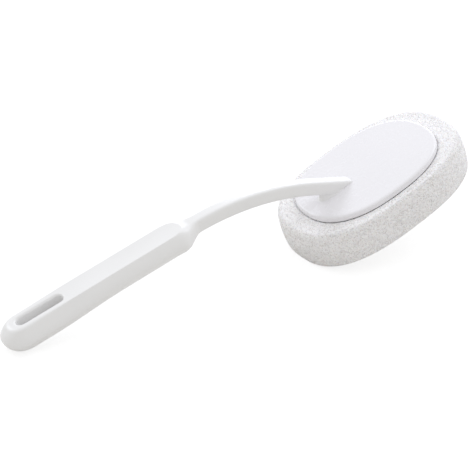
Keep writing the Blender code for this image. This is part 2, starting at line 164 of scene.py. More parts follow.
# %% Sizes along the handle
GRIP_SLOPE = math.radians(5.5)
GRIP_LENGTH = 0.1487
BEND_GAP = 0.0141
BEND_DISTANCE = GRIP_LENGTH + BEND_GAP
ARM_HEIGHT = 0.0116
ARM_DROP = 0.0022
ARM_BEND = 0.2210
ARM_FALL = math.radians(34)
NECK_RUN = 0.0376
FOOT_LANDING = -0.0149
SPINE_BEND = ARM_BEND + ARM_HEIGHT / 2 + ARM_DROP
BEND_LENGTH = SPINE_BEND * (ARM_FALL - GRIP_SLOPE)
HANDLE_LENGTH = BEND_DISTANCE + BEND_LENGTH + NECK_RUN
print("length along the handle in mm:", round(1000 * HANDLE_LENGTH, 1))


# %% The line itself
def spine(distance):
    """(point in the XZ plane, slope) on the land's line at a distance from the butt."""
    along = Vector((math.cos(ARM_FALL), -math.sin(ARM_FALL)))
    above = Vector((math.sin(ARM_FALL), math.cos(ARM_FALL)))
    bend_end = Vector((FOOT_LANDING, 0.0)) + ARM_DROP * above - NECK_RUN * along
    centre = bend_end - SPINE_BEND * above
    past_bend = distance - BEND_DISTANCE
    if past_bend > BEND_LENGTH:
        return bend_end + (past_bend - BEND_LENGTH) * along, ARM_FALL
    slope = GRIP_SLOPE + max(0.0, past_bend) / SPINE_BEND
    point = centre + SPINE_BEND * Vector((math.sin(slope), math.cos(slope)))
    if past_bend < 0.0:
        point += past_bend * Vector((math.cos(slope), -math.sin(slope)))
    return point, slope


print("butt in mm:", [round(1000 * value, 1) for value in spine(0.0)[0]])


# %% [markdown]
# ## Sections across the handle
#
# Across, the grip is an oval that is cut three times: by a flat, slightly dished land on top and by
# a flat wall down each side, which leans out as it goes down. Land and wall meet in a ridge that
# catches the light as a thin bright line. Boolean cuts would leave knife edges, so a soft minimum
# picks the nearest of the forms and rounds the change. Part of each ring's vertices always spans
# the land, so one row of quads follows the ridge. At the butt the same section turns round the end
# of the slot, and its middle height stands out a little further, as a blunt nose.

# %% Sizes across the handle
GRIP_HALF_WIDTH = 0.0132
GRIP_DEPTH = 0.0207
GRIP_CROWN = 0.0055
GRIP_SQUARENESS = 2.3
BUTT_HALF_WIDTH = 0.0149
BUTT_DEPTH = 0.02135
BUTT_SQUARENESS = 2.6
BUTT_TAPER_START = 0.0350
BUTT_TAPER_END = 0.0950
SHOULDER_LENGTH = 0.0200
CROWN_FALL_START = 0.1380
CROWN_FALL_END = 0.1625
ARM_WIDTH = 0.0106
ARM_SQUARENESS = 5.0
LAND_HALF_WIDTH = 0.0098
LAND_DISH = 0.0005
LAND_EDGE = 0.0003
BUTT_EDGE = 0.0028
WALL_TILT = math.radians(24)
WALL_ROUND = 0.0020
print("grip in mm:", round(2000 * GRIP_HALF_WIDTH, 1), "by", round(1000 * GRIP_DEPTH, 1))

# %% Sizes of the butt and its slot
SLOT_LENGTH = 0.0385
SLOT_WIDTH = 0.0088
SLOT_WALL = 0.0138
SLOT_FRONT = SLOT_WALL + SLOT_LENGTH
BUTT_CENTRE = SLOT_WALL + SLOT_WIDTH / 2
NOSE_REACH = 0.0046
NOSE_LEVEL = -0.0060
NOSE_RISE = 0.0066
NOSE_FALL = 0.0125
NOSE_SQUARENESS = 2.8
TRUE_ROUND = 2.0
print("the section turns round, in mm from the end:", round(1000 * BUTT_CENTRE, 1))


# %% The section at a distance
def section(distance):
    """(half width, top, bottom, squareness, ridge's round), with heights from the land's line."""
    full = smooth_step(distance, BUTT_TAPER_START, BUTT_TAPER_END)
    half_width = blend(BUTT_HALF_WIDTH, GRIP_HALF_WIDTH, full)
    top = GRIP_CROWN
    bottom = -blend(BUTT_DEPTH, GRIP_DEPTH, full)
    squareness = blend(BUTT_SQUARENESS, GRIP_SQUARENESS, full)
    neck = smooth_step(distance, GRIP_LENGTH, GRIP_LENGTH + SHOULDER_LENGTH)
    half_width = blend(half_width, ARM_WIDTH / 2, neck)
    top = blend(top, -ARM_DROP, smooth_step(distance, CROWN_FALL_START, CROWN_FALL_END))
    bottom = blend(bottom, -ARM_DROP - ARM_HEIGHT, neck)
    edge = blend(BUTT_EDGE, LAND_EDGE, smooth_step(distance, BUTT_CENTRE, SLOT_FRONT + SLOT_WIDTH))
    return half_width, top, bottom, blend(squareness, ARM_SQUARENESS, neck), edge


# %% Turn the section back round the butt
def nose_point(fold, out, height):
    """(way back from the butt's centre, way out) of a point once its section is turned back."""
    share = smooth_step(out, LAND_HALF_WIDTH / 2, BUTT_HALF_WIDTH)
    bend = TRUE_ROUND / blend(TRUE_ROUND, NOSE_SQUARENESS, share)
    rise = (height - NOSE_LEVEL) / (NOSE_RISE if height > NOSE_LEVEL else NOSE_FALL)
    reach = out + NOSE_REACH * max(0.0, 1.0 - rise * rise) * smooth_step(out, 0.0, LAND_HALF_WIDTH)
    return reach * math.sin(fold) ** bend, out * max(0.0, math.cos(fold)) ** bend


# %% A point of the skin
LAND_PART = 0.3


def soft_min(first, second, reach):
    """The smaller of two values, with a rounded change from one to the other."""
    near = max(reach - abs(first - second), 0.0) / reach
    return min(first, second) - near * near * reach / 4.0


def handle_point(distance, share):
    """A point of the skin. Behind the butt's centre the section turns round it and closes."""
    fold = math.asin(max(0.0, 1.0 - distance / BUTT_CENTRE))
    distance = max(distance, BUTT_CENTRE)
    point, slope = spine(distance)
    half_width, top, bottom, squareness, edge = section(distance)
    middle = (top + bottom) / 2
    ridge = math.atan2(-middle, LAND_HALF_WIDTH)
    if share < LAND_PART:
        turn = blend(ridge, math.pi - ridge, share / LAND_PART)
    else:
        turn = blend(math.pi - ridge, math.tau + ridge, (share - LAND_PART) / (1.0 - LAND_PART))
    radius = math.hypot(*oval_point(turn, half_width, (top - bottom) / 2, squareness))
    across, up = abs(math.cos(turn)), math.sin(turn)
    facing = across * math.cos(WALL_TILT) + up * math.sin(WALL_TILT)
    if facing > 0.0:
        wall = LAND_HALF_WIDTH * math.cos(WALL_TILT) - middle * math.sin(WALL_TILT)
        radius = soft_min(radius, wall / facing, WALL_ROUND)
    if up > 0.0:
        out = min(1.0, -middle * across / (up * LAND_HALF_WIDTH))
        radius = soft_min(radius, (LAND_DISH * (out * out - 1.0) - middle) / up, edge)
    height = middle + radius * up
    back, y = nose_point(fold, radius * across, height)
    return (point.x + height * math.sin(slope) - back * math.cos(slope),
            math.copysign(y, math.cos(turn)),
            point.y + height * math.cos(slope) + back * math.sin(slope))


grip_middle = section(GRIP_LENGTH / 2)
print("half width, top and bottom in mm:", [round(1000 * value, 1) for value in grip_middle[:3]])

# %% Grow the handle's skin
HANDLE_RING = 120
BUTT_STEPS = 28
GRIP_STEP = 0.0014
SHOULDER_STEP = 0.0006
ARM_STEP = 0.0016
DOUBLES = 0.000005
stations = [BUTT_CENTRE * side for side, top in quarter_turn(BUTT_STEPS)]
for end, step in ((CROWN_FALL_START, GRIP_STEP), (GRIP_LENGTH + SHOULDER_LENGTH, SHOULDER_STEP),
                  (HANDLE_LENGTH + ARM_HEIGHT, ARM_STEP)):
    start = stations[-1]
    count = max(1, round((end - start) / step))
    stations += [blend(start, end, (index + 1) / count) for index in range(count)]
handle_form = loft(HANDLE_RING, stations, handle_point)
# At the very end the ring has closed to a line, so its cap goes and its doubles are merged.
closed = min(handle_form.faces, key=lambda face: face.calc_area())
bmesh.ops.delete(handle_form, geom=[closed], context="FACES_ONLY")
bmesh.ops.remove_doubles(handle_form, verts=handle_form.verts, dist=DOUBLES)
bmesh.ops.recalc_face_normals(handle_form, faces=handle_form.faces)
print("handle skin:", len(handle_form.faces), "faces on", len(stations), "rings")

# %% [markdown]
# ## The foot
#
# Under the arm's end a narrow oval neck stands on the plate and flares out where it meets it, as
# moulded plastic does so that it doesn't crack there. It is joined to the arm by a Boolean. The
# join is a sharp crease at first, so the vertices close to it are smoothed into a small fillet.


# %% Join, cut and trim
def carve(bm, form, operation):
    """Join or cut one bmesh with another, exactly, and return the result."""
    piece = add_piece("carved", bm)
    tool = add_piece("tool", form)
    change = piece.modifiers.new("change", "BOOLEAN")
    change.operation = operation
    change.solver = "EXACT"
    change.object = tool
    result = bmesh.new()
    result.from_object(piece, bpy.context.evaluated_depsgraph_get())
    bpy.data.objects.remove(piece)
    bpy.data.objects.remove(tool)
    return result


def trim(bm, point, outward):
    """Cut everything off beyond a plane and close the cut."""
    made = bmesh.ops.bisect_plane(bm, geom=[*bm.verts, *bm.edges, *bm.faces], plane_co=point,
                                  plane_no=outward, clear_outer=True)
    rim = [item for item in made["geom_cut"] if isinstance(item, bmesh.types.BMEdge)]
    bmesh.ops.edgeloop_fill(bm, edges=rim)


# %% Sizes of the foot
FOOT_BASE = 0.00003
ARM_NOSE = -0.0162
FOOT_REAR = -0.0450
FOOT_FRONT = -0.0195
FOOT_WIDTH = 0.0092
FOOT_FLARE = 0.0014
FOOT_END_FLARE = 0.0022
FOOT_FLARE_HEIGHT = 0.0052
FOOT_SQUARENESS = 2.3
FOOT_TRIM = 0.0010
FOOT_STEPS = 16
NECK_RING = 110
NECK_STEP = 0.0008
NECK_STEPS = 18
print("neck in mm:", round(1000 * (FOOT_FRONT - FOOT_REAR), 1), "by", round(1000 * FOOT_WIDTH, 1))


# %% Grow the neck and join it
def neck_point(station, share):
    flare, level = station
    x, y = oval_point(math.tau * share, (FOOT_FRONT - FOOT_REAR) / 2 + FOOT_END_FLARE * flare,
                      FOOT_WIDTH / 2 + FOOT_FLARE * flare, FOOT_SQUARENESS)
    return (FOOT_REAR + FOOT_FRONT) / 2 + x, y, level


levels = [(1.0, FOOT_BASE - FOOT_TRIM)]
levels += [(1.0 - top, FOOT_BASE + FOOT_FLARE_HEIGHT * side)
           for side, top in quarter_turn(FOOT_STEPS)]
levels += [(0.0, FOOT_BASE + FOOT_FLARE_HEIGHT + NECK_STEP * step)
           for step in range(1, NECK_STEPS + 1)]
neck = loft(NECK_RING, levels, neck_point)
above = Matrix.Rotation(ARM_FALL, 3, "Y") @ Vector((0.0, 0.0, 1.0))
trim(neck, Vector((FOOT_LANDING, 0.0, 0.0)) - above * ARM_HEIGHT / 2, above)
handle_form = carve(handle_form, neck, "UNION")
print("with the neck:", len(handle_form.faces), "faces")

# %% Trim the foot flat and its nose upright
trim(handle_form, (0.0, 0.0, FOOT_BASE), (0.0, 0.0, -1.0))
trim(handle_form, (ARM_NOSE, 0.0, 0.0), (1.0, 0.0, 0.0))
print("trimmed:", len(handle_form.faces), "faces")

# %% Smooth the crease into a fillet
CREASE = math.radians(18)
FILLET_REACH = 0.0011
FILLET_START = FOOT_BASE + 0.0002
FILLET_REAR = FOOT_REAR - 0.0100
FILLET_ROUNDS = 8

creases = KDTree(len(handle_form.edges))
for edge in handle_form.edges:
    middle = (edge.verts[0].co + edge.verts[1].co) / 2
    at_foot = middle.x > FOOT_REAR - FOOT_END_FLARE and middle.z > FOOT_BASE + FILLET_REACH / 2
    if at_foot and edge.is_manifold and edge.calc_face_angle() > CREASE:
        creases.insert(middle, edge.index)
creases.balance()
close = [vert for vert in handle_form.verts
         if vert.co.z > FILLET_START and vert.co.x > FILLET_REAR
         and creases.find(vert.co)[2] < FILLET_REACH]
for _ in range(FILLET_ROUNDS):
    bmesh.ops.smooth_vert(handle_form, verts=close, factor=0.5,
                          use_axis_x=True, use_axis_y=True, use_axis_z=True)
print("vertices smoothed into the fillet:", len(close))

# %% [markdown]
# ## The hang slot and the screw holes
#
# The slot near the butt takes a hook. Its mouths are rolled: the wall turns over into the land in a
# soft lip. So the cutter is a round-ended bar that flares at both ends, and the Boolean leaves the
# lip behind. The two pilot holes from below take the foot's screws.

# %% Cut the slot
SLOT_LIP = 0.0022
SLOT_LEVEL = -0.0002
SLOT_LOWER_LIP = 0.0010
LIP_TURN = math.radians(76)
LIP_RUN = 0.0020
LIP_STEPS = 12
SLOT_RING = 72


def lip(radius, level, side):
    """(outset, height) from the wall over a rolled lip; side is 1 above and -1 below."""
    found = []
    for step in range(1, LIP_STEPS + 1):
        turn = LIP_TURN * step / LIP_STEPS
        found.append((radius * (1.0 - math.cos(turn)),
                      level - side * radius * (1.0 - math.sin(turn))))
    outset, height = found[-1]
    found.append((outset + LIP_RUN * math.sin(LIP_TURN),
                  height + side * LIP_RUN * math.cos(LIP_TURN)))
    return found


def slot_point(station, share):
    """A point of the cutter; a small shift keeps its vertices off the line where its ends part."""
    outset, height = station
    radius = SLOT_WIDTH / 2 + outset
    turn = math.tau * (share + 0.25 / SLOT_RING)
    straight = math.copysign((SLOT_LENGTH - SLOT_WIDTH) / 2, math.cos(turn))
    return (SLOT_WALL + SLOT_LENGTH / 2 + straight + radius * math.cos(turn),
            radius * math.sin(turn), height)


slot_stations = lip(SLOT_LOWER_LIP, -BUTT_DEPTH, -1)[::-1] + lip(SLOT_LIP, SLOT_LEVEL, 1)
slot_form = loft(SLOT_RING, slot_stations, slot_point)
butt, slope = spine(0.0)
on_grip = Matrix.Translation((butt.x, 0.0, butt.y)) @ Matrix.Rotation(slope, 4, "Y")
bmesh.ops.transform(slot_form, matrix=on_grip, verts=slot_form.verts)
handle_form = carve(handle_form, slot_form, "DIFFERENCE")
print("with the slot:", len(handle_form.faces), "faces")

# %% Cut the pilot holes
TOUCH_GAP = 0.0003
WEB_UNDERSIDE = -0.0025
SCREW_SETBACKS = (0.0060, 0.0155)
SCREWS = [FOOT_REAR + setback for setback in SCREW_SETBACKS]
SCREW_DIAMETER = 0.0029
SCREW_LENGTH = 0.0100
SCREW_HEAD_DIAMETER = 0.0058
SCREW_HEAD_HEIGHT = 0.0015
SCREW_TIP_LENGTH = 0.0025
SCREW_TIP_DIAMETER = 0.0010
HOLE_RING = 32
CUT_PAST = 0.0100


def screw_hole(x):
    head = SCREW_HEAD_DIAMETER / 2 + TOUCH_GAP
    shank = SCREW_DIAMETER / 2 + TOUCH_GAP
    tip = SCREW_TIP_DIAMETER / 2 + TOUCH_GAP
    point = WEB_UNDERSIDE + SCREW_LENGTH + TOUCH_GAP
    sides = [(head, WEB_UNDERSIDE - CUT_PAST), (head, WEB_UNDERSIDE + TOUCH_GAP),
             (shank, WEB_UNDERSIDE + SCREW_HEAD_HEIGHT + TOUCH_GAP),
             (shank, point - SCREW_TIP_LENGTH), (tip, point)]

    def place(station, share):
        radius, height = station
        turn = math.tau * share
        return x + radius * math.cos(turn), radius * math.sin(turn), height

    return loft(HOLE_RING, sides, place)


for x in SCREWS:
    handle_form = carve(handle_form, screw_hole(x), "DIFFERENCE")
handle = add_piece("handle_moulding", lay_in(handle_form))
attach(handle, "brush")
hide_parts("handle")
report(handle)

# %% [markdown]
# ## The head plate
#
# The plate is a shallow oval tray turned upside down, with a soft rolled edge along its top. The
# edge is what shows most, as a pale band round the flat face, so it gets most of the rings. Two
# narrow flat rings inside it keep the big flat face's shading clean.

# %% Grow the plate
PLATE_LENGTH = 0.1216
PLATE_WIDTH = 0.0850
PLATE_SQUARENESS = 2.4
PLATE_DEPTH = 0.0047
SKIRT_WALL = 0.0020
SKIRT_DRAFT = 0.0003
SKIRT_ROUND = 0.0003
EDGE_WIDTH = 0.0026
EDGE_HEIGHT = 0.0014
WEB_FILLET = 0.0006
FLAT_RINGS = (0.0005, 0.0020)
EDGE_STEPS = 18
PLATE_RING = 220


def plate_point(station, share):
    """A point on the plate's own oval, set in from its edge."""
    inset, height = station
    x, y = oval_point(math.tau * share, PLATE_LENGTH / 2 - inset, PLATE_WIDTH / 2 - inset,
                      PLATE_SQUARENESS)
    return x, y, height


skirt_inner = SKIRT_WALL + SKIRT_DRAFT
profile = [(skirt_inner + 2 * WEB_FILLET, WEB_UNDERSIDE),
           (skirt_inner + WEB_FILLET, WEB_UNDERSIDE), (skirt_inner, WEB_UNDERSIDE - WEB_FILLET),
           (SKIRT_WALL, -PLATE_DEPTH + SKIRT_ROUND),
           (SKIRT_WALL - SKIRT_ROUND, -PLATE_DEPTH), (SKIRT_ROUND, -PLATE_DEPTH),
           (0.0, SKIRT_ROUND - PLATE_DEPTH)]
profile += [(SKIRT_DRAFT + EDGE_WIDTH * side, EDGE_HEIGHT * (top - 1.0))
            for side, top in quarter_turn(EDGE_STEPS)]
profile += [(SKIRT_DRAFT + EDGE_WIDTH + further, 0.0) for further in FLAT_RINGS]
plate_form = loft(PLATE_RING, profile, plate_point)
for x in SCREWS:
    plate_form = carve(plate_form, screw_hole(x), "DIFFERENCE")
plate = add_piece("oval_plate", lay_in(plate_form))
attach(plate, "brush")
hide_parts("head_plate")
report(plate)

# %% [markdown]
# ## The hook sheet
#
# Glued under the plate is the stiff half of the fastener: a thin backing with rows of tiny plastic
# hooks that point down at the pad. It only shows when the pad is off. One hook is bent from a small
# square by a few extrusions, and then it is copied over the backing, every other row turned round.

# %% One hook
HOOK_TOP = WEB_UNDERSIDE - TOUCH_GAP
HOOK_THICKNESS = 0.0014
BACKING = 0.0005
HOOK_PITCH = 0.0020
HOOK_WIDTH = 0.00034
HOOK_TAPER = 0.85
HOOK_SLACK = 3.0
HOOK_PATH = ((0.0, 0.55, 10), (0.10, 0.85, 55), (0.36, 0.97, 100), (0.55, 0.72, 150))


def bend_hook():
    """One hook. Its path gives each step's way out and drop, in shares of its height, and where
    its line points, in degrees; the ring turns less than the line, which keeps the tip broad."""
    bm = bmesh.new()
    bmesh.ops.create_grid(bm, x_segments=1, y_segments=1, size=HOOK_WIDTH / 2)
    tip = list(bm.faces)
    reach = HOOK_THICKNESS - BACKING
    for out, drop, turn in HOOK_PATH:
        grown = bmesh.ops.extrude_face_region(bm, geom=tip)["geom"]
        bmesh.ops.delete(bm, geom=tip, context="FACES_ONLY")
        tip = [item for item in grown if isinstance(item, bmesh.types.BMFace)]
        corners = tip[0].verts
        centre = sum((vert.co for vert in corners), Vector()) / len(corners)
        goal = Vector((out * reach, 0.0, -drop * reach))
        lean = Matrix.Rotation(math.radians(-turn / HOOK_SLACK), 3, "Y")
        bmesh.ops.translate(bm, vec=goal - centre, verts=corners)
        bmesh.ops.rotate(bm, cent=goal, matrix=lean, verts=corners)
        bmesh.ops.scale(bm, vec=[HOOK_TAPER] * 3, space=Matrix.Translation(-goal), verts=corners)
    bmesh.ops.recalc_face_normals(bm, faces=bm.faces)
    return bm


hook = bpy.data.meshes.new("hook")
hook_form = bend_hook()
hook_form.to_mesh(hook)
hook_form.free()
print("faces on one hook:", len(hook.polygons))


# %% Cover the backing with hooks
SHEET_GAP = 0.0008
SHEET_INSET = skirt_inner + WEB_FILLET + SHEET_GAP
HOOK_SHEET_RING = 120


def sheet_form(top, thickness, sides):
    """A flat oval that fills the recess under the plate but for a small gap."""
    return loft(sides, [(SHEET_INSET, top - thickness), (SHEET_INSET, top)], plate_point)


hooks = sheet_form(HOOK_TOP, BACKING, HOOK_SHEET_RING)
half_length = PLATE_LENGTH / 2 - SHEET_INSET - HOOK_PITCH
half_width = PLATE_WIDTH / 2 - SHEET_INSET - HOOK_PITCH
rows = int(half_width / HOOK_PITCH)
columns = int(half_length / HOOK_PITCH)
hook_count = 0
for row in range(-rows, rows + 1):
    for column in range(-columns, columns + 1):
        x = (column + 0.5 * (row % 2)) * HOOK_PITCH
        y = row * HOOK_PITCH
        if abs(x / half_length) ** PLATE_SQUARENESS + abs(y / half_width) ** PLATE_SQUARENESS < 1.0:
            before = len(hooks.verts)
            hooks.from_mesh(hook)
            hooks.verts.ensure_lookup_table()
            stand = Matrix.Translation((x, y, HOOK_TOP - BACKING))
            facing = Matrix.Rotation(math.pi * (row % 2), 4, "Z")
            bmesh.ops.transform(hooks, matrix=stand @ facing, verts=hooks.verts[before:])
            hook_count += 1
hook_sheet = add_piece("hook_sheet_fastener", lay_in(hooks))
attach(hook_sheet, "brush")
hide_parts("hook_sheet")
print("hooks:", hook_count)
report(hook_sheet)

# %% [markdown]
# ## The loop sheet
#
# The soft half of the fastener is glued into the hollow on the pad's back: a felt of fine loops.
# At this size it is a sheet with a restless top, so a fine mesh of it is pushed about by noise, and
# its material adds the threads.

# %% Felt the loop sheet
LOOP_TOP = HOOK_TOP - HOOK_THICKNESS - TOUCH_GAP
LOOP_THICKNESS = 0.0012
LOOP_SHEET_RING = 180
LOOP_VOXEL = 0.0006
LOOP_PILE = 0.0004
LOOP_TUFT = 0.0011


def noise_share(point):
    """Soft noise at a point, from 0 to 1."""
    return 0.5 + 0.5 * noise.noise(point)


def remeshed(bm, size):
    """The same form in even quads, by Blender's voxel remesher."""
    piece = add_piece("coarse", bm)
    change = piece.modifiers.new("voxels", "REMESH")
    change.mode = "VOXEL"
    change.voxel_size = size
    change.adaptivity = 0.0
    result = bmesh.new()
    result.from_object(piece, bpy.context.evaluated_depsgraph_get())
    bpy.data.objects.remove(piece)
    return result


loops = remeshed(sheet_form(LOOP_TOP, LOOP_THICKNESS, LOOP_SHEET_RING), LOOP_VOXEL)
for vert in loops.verts:
    if vert.co.z > LOOP_TOP - LOOP_THICKNESS / 2:
        vert.co.z -= LOOP_PILE * noise_share(vert.co / LOOP_TUFT)
loop_sheet = add_piece("loop_sheet_felt", lay_in(loops))
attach(loop_sheet, "scrub_pad")
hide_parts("loop_sheet")
report(loop_sheet)

# %% [markdown]
# ## The foam pad
#
# The pad is a thick, firm cushion of open-celled foam. Its side bulges a little, its upper edge is
# one big round, and beside the plate it is a low, nearly level ledge, which ends at the hollow that
# takes the fastener. The pad is remeshed into fine even quads, and each vertex sinks into the open
# cell that it falls in. The cells come from a Voronoi pattern: walls stay, middles sink.

# %% Sizes of the pad
PAD_LENGTH = 0.1580
PAD_WIDTH = 0.1002
PAD_SQUARENESS = 2.65
PAD_SEAT = LOOP_TOP - LOOP_THICKNESS - TOUCH_GAP
PAD_CREST = 0.0010
CREST_SHARE = 0.25
RIM_SHARE = 0.92
RIM_HEIGHT = 0.0017
RIM_DROP = 0.0009
PAD_UPPER_ROUND = 0.0070
PAD_LOWER_ROUND = 0.0048
PAD_BULGE = 0.0007
PAD_STEPS = 8
PAD_UPPER_STEPS = 12
PAD_RING = 160
# The ledge's rise would level out only past the rim, so it meets the hollow at a slope.
LEDGE_EASE = 1.25
print("foam above the scrub face in mm:", round(1000 * (PAD_SEAT + PAD_CREST - PAD_FACE), 1))


# %% Up the pad's skin
def pad_stations():
    """(share of the way from the pad's outline to the plate's, inset, height) up the skin."""
    crest = PAD_SEAT + PAD_CREST
    side_low = PAD_FACE + PAD_LOWER_ROUND
    side_high = crest - PAD_UPPER_ROUND
    found = [(0.0, PAD_LOWER_ROUND * (1.0 - top), PAD_FACE + PAD_LOWER_ROUND * side)
             for side, top in quarter_turn(PAD_STEPS)]
    for step in range(1, PAD_STEPS):
        bulge = PAD_BULGE * math.sin(math.pi * step / PAD_STEPS)
        found.append((0.0, -bulge, blend(side_low, side_high, step / PAD_STEPS)))
    found += [(CREST_SHARE * side, 0.0, side_high + PAD_UPPER_ROUND * top)
              for side, top in quarter_turn(PAD_UPPER_STEPS)]
    for step in range(1, PAD_STEPS + 1):
        part = step / PAD_STEPS
        level = blend(crest, PAD_SEAT + RIM_HEIGHT, smooth_step(part, 0.0, LEDGE_EASE))
        found.append((blend(CREST_SHARE, RIM_SHARE, part), 0.0, level))
    found.append((1.0, 0.0, PAD_SEAT + RIM_DROP))
    found.append((1.0, SKIRT_WALL, PAD_SEAT))
    return found


# %% Grow the pad
def pad_point(station, share):
    inward, inset, height = station
    x, y = oval_point(math.tau * share, blend(PAD_LENGTH, PLATE_LENGTH, inward) / 2 - inset,
                      blend(PAD_WIDTH, PLATE_WIDTH, inward) / 2 - inset,
                      blend(PAD_SQUARENESS, PLATE_SQUARENESS, inward))
    return x + PAD_FORWARD * (1.0 - inward), y, height


FOAM_VOXEL = 0.0006
foam = remeshed(loft(PAD_RING, pad_stations(), pad_point), FOAM_VOXEL)
print("foam mesh:", len(foam.faces), "faces")

# %% Open the cells
CELL = 0.0016
CELL_DEPTH = 0.0007
CELL_WALL = 0.02
CELL_MIDDLE = 0.50
SHALLOWEST = 0.35
CELL_SHUFFLE = 3.7

sunk = foam.verts.layers.float.new("sunk")
foam.normal_update()
for vert in foam.verts:
    near, centres = noise.voronoi(vert.co / CELL)
    open_share = blend(SHALLOWEST, 1.0, noise_share(centres[0] * CELL_SHUFFLE))
    vert[sunk] = smooth_step(near[1] - near[0], CELL_WALL, CELL_MIDDLE) * open_share
moves = [(vert, vert.normal * -CELL_DEPTH * vert[sunk]) for vert in foam.verts]
for vert, move in moves:
    vert.co += move
lay_in(foam)
for vert in foam.verts:
    vert.co.z = max(0.0, vert.co.z)
pad = add_piece("foam_pad", foam)
pad.data.set_sharp_from_angle(angle=math.pi)
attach(pad, "scrub_pad")
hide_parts("sponge_pad")
report(pad)

# %% [markdown]
# ## Shader maths
#
# Node trees are easier to read as formulas. `Term` wraps a socket, so that adding or multiplying
# two terms adds a Math node. Every other node comes from one function that takes its type, its
# settings and its inputs. Noise reads the piece's own axes, so it is as fine on every piece.


# %% Formulas from nodes
class Term:
    """A node's output that takes part in ordinary arithmetic."""

    def __init__(self, tree, socket):
        self.tree = tree
        self.socket = socket

    def maths(self, operation, *values):
        return node(self.tree, "ShaderNodeMath", {"operation": operation}, dict(enumerate(values)))

    def __add__(self, other):
        return self.maths("ADD", self, other)

    def __sub__(self, other):
        return self.maths("SUBTRACT", self, other)

    def __rsub__(self, other):
        return self.maths("SUBTRACT", other, self)

    def __mul__(self, other):
        return self.maths("MULTIPLY", self, other)

    __radd__ = __add__
    __rmul__ = __mul__


def node(tree, kind, settings=None, inputs=None, output=0):
    """Add a node: its settings first, then the values or links of its sockets."""
    made = tree.nodes.new(kind)
    for name, value in (settings or {}).items():
        setattr(made, name, value)
    for name, value in (inputs or {}).items():
        if isinstance(value, Term):
            tree.links.new(value.socket, made.inputs[name])
        else:
            made.inputs[name].default_value = value
    return Term(tree, made.outputs[output])


# %% Soft steps and mixed colours
NOISE_MIDDLE = (0.3, 0.7)
MIX_COLOURS = (6, 7)
MIX_RESULT = 2


def between(value, low, high):
    """0 at low, 1 at high, soft between."""
    return node(value.tree, "ShaderNodeMapRange", {"interpolation_type": "SMOOTHSTEP"},
                {"Value": value, "From Min": low, "From Max": high})


def two_colours(share, first, second):
    """A mix of two colours; a Mix node keeps sockets for numbers and vectors before theirs."""
    made = node(share.tree, "ShaderNodeMix", {"data_type": "RGBA"}, {0: share}, MIX_RESULT)
    for socket, colour in zip(MIX_COLOURS, (first, second)):
        made.socket.node.inputs[socket].default_value = (*colour, 1.0)
    return made


# %% Begin a finish
def new_finish(name, **uniform):
    """(material, tree, shader) with the shader's even values set on its own sockets."""
    made = bpy.data.materials.new(name)
    made.use_nodes = True
    shader = made.node_tree.nodes["Principled BSDF"]
    for label, value in uniform.items():
        shader.inputs[label.replace("_", " ").title().replace("Ior", "IOR")].default_value = value
    return made, made.node_tree, shader


def place_in(tree):
    """The point on the piece, in metres, on the object's own axes."""
    return node(tree, "ShaderNodeTexCoord", output="Object")


def cloudy(place, scale, detail, **more):
    """Soft noise with this many waves to the metre."""
    return node(place.tree, "ShaderNodeTexNoise", {},
                {"Vector": place, "Scale": scale, "Detail": detail, **more})


# %% Feed a shader and dress a piece
def feed(target, label, value):
    """Link a value that isn't the same everywhere to a node's own socket."""
    value.tree.links.new(value.socket, target.inputs[label])


def raise_skin(shader, height, strength, distance):
    """Relief too fine for the mesh; distance is its depth in metres."""
    bump = node(height.tree, "ShaderNodeBump", {},
                {"Height": height, "Strength": strength, "Distance": distance})
    feed(shader, "Normal", bump)


def dress(piece, finish):
    piece.data.materials.clear()
    piece.data.materials.append(finish)
    print(piece.name, "wears", finish.name)


# %% [markdown]
# ## White moulded plastic
#
# Handle and plate are glossy white polypropylene. Such a surface is never quite even: the colour
# drifts by a hair where the melt flowed, the gloss is a little broken by handling, and the skin has
# a faint orange peel. Each comes from noise at its own scale, weak enough to be felt more than
# seen. The two mouldings differ a little: the plate is a trace cooler in colour and smoother.

# %% Finish for plastic
HANDLE_WHITE = (0.87, 0.864, 0.860)
HANDLE_SHADE = (0.855, 0.849, 0.845)
PLATE_WHITE = (0.868, 0.855, 0.878)
PLATE_SHADE = (0.858, 0.845, 0.868)
FLOW_SCALE = 22.0
SCUFF_SCALE = 160.0
SCUFF_RANGE = (0.35, 0.75)
PEEL_SCALE = 700.0
PEEL_DEPTH = 0.0002


def moulded(name, white, shade, roughness, spread, peel):
    made, tree, shader = new_finish(name, specular_ior_level=0.5)
    place = place_in(tree)
    drift = cloudy(place, FLOW_SCALE, detail=3.0)
    scuff = cloudy(place, SCUFF_SCALE, detail=5.0, Roughness=0.6)
    skin = cloudy(place, PEEL_SCALE, detail=2.0)
    feed(shader, "Base Color", two_colours(between(drift, *NOISE_MIDDLE), shade, white))
    feed(shader, "Roughness", between(scuff, *SCUFF_RANGE) * spread + roughness)
    raise_skin(shader, skin, strength=peel, distance=PEEL_DEPTH)
    return made


dress(handle, moulded("white_plastic_gloss", HANDLE_WHITE, HANDLE_SHADE,
                      roughness=0.28, spread=0.06, peel=0.04))
dress(plate, moulded("plate_plastic_gloss", PLATE_WHITE, PLATE_SHADE,
                     roughness=0.26, spread=0.03, peel=0.015))
